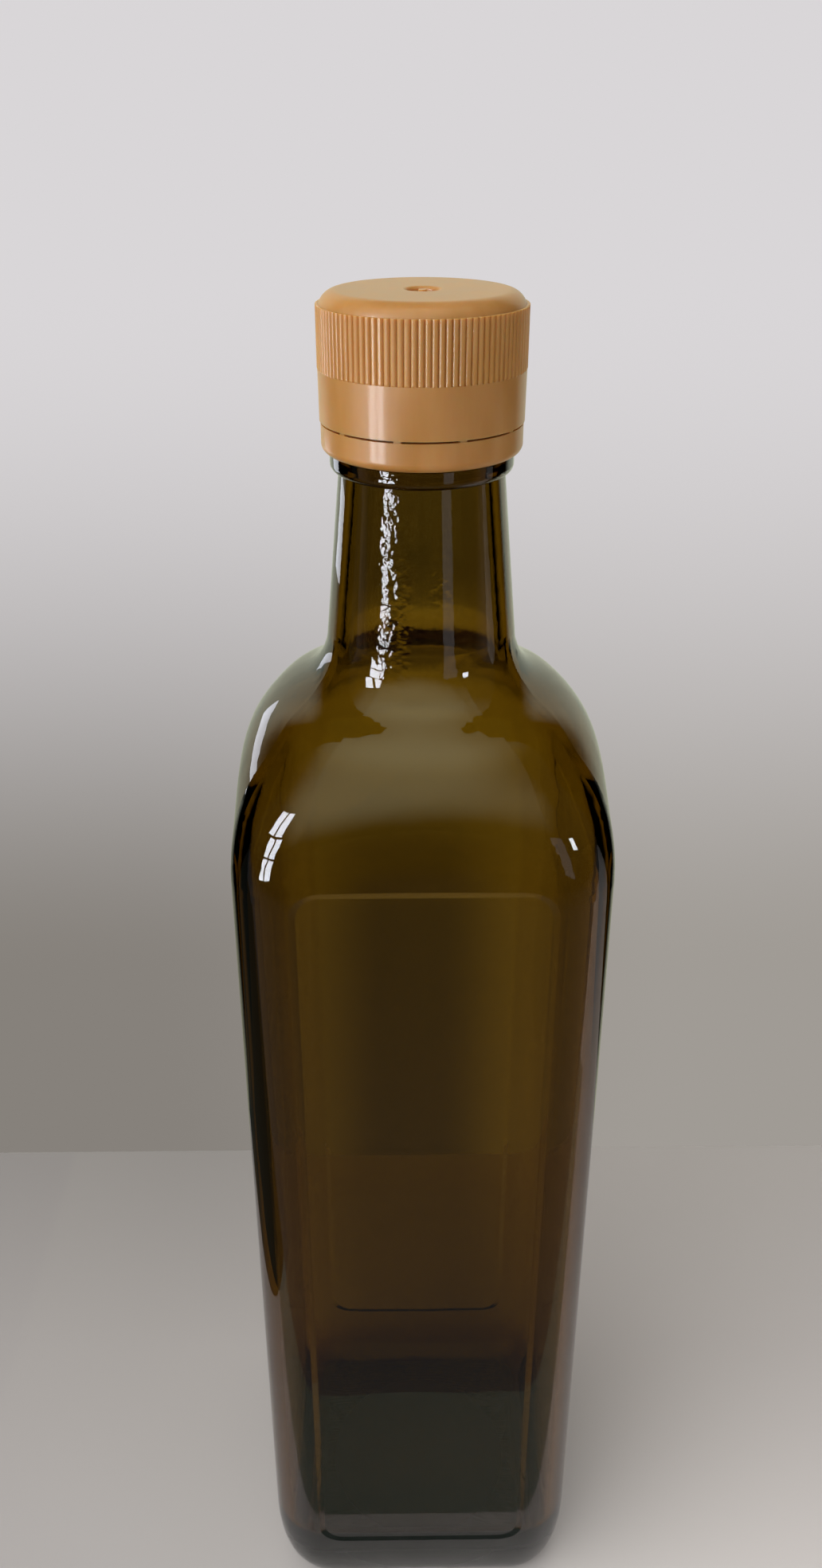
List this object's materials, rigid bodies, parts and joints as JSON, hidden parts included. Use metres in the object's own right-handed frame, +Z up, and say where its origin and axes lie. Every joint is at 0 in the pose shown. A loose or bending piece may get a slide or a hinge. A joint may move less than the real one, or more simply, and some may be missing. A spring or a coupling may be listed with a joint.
{
  "type": "square glass bottle",
  "caption": "Tall square bottle of dark olive-green glass with a round neck, shut by a ribbed tan plastic cap above its tamper-evident ring.",
  "frame": {"origin": "centre of the base, on the surface the bottle stands on", "axes": "+Z up along the bottle's axis, -Y out of the front face"},
  "size_m": [0.063, 0.063, 0.2675],
  "materials": {
    "glass": "smooth green-brown bottle glass",
    "plastic": "moulded tan polypropylene, soft sheen"
  },
  "bodies": {
    "root": {"bottle": "glass", "cap": "plastic", "tamper_ring": "plastic"}
  },
  "joints": []
}
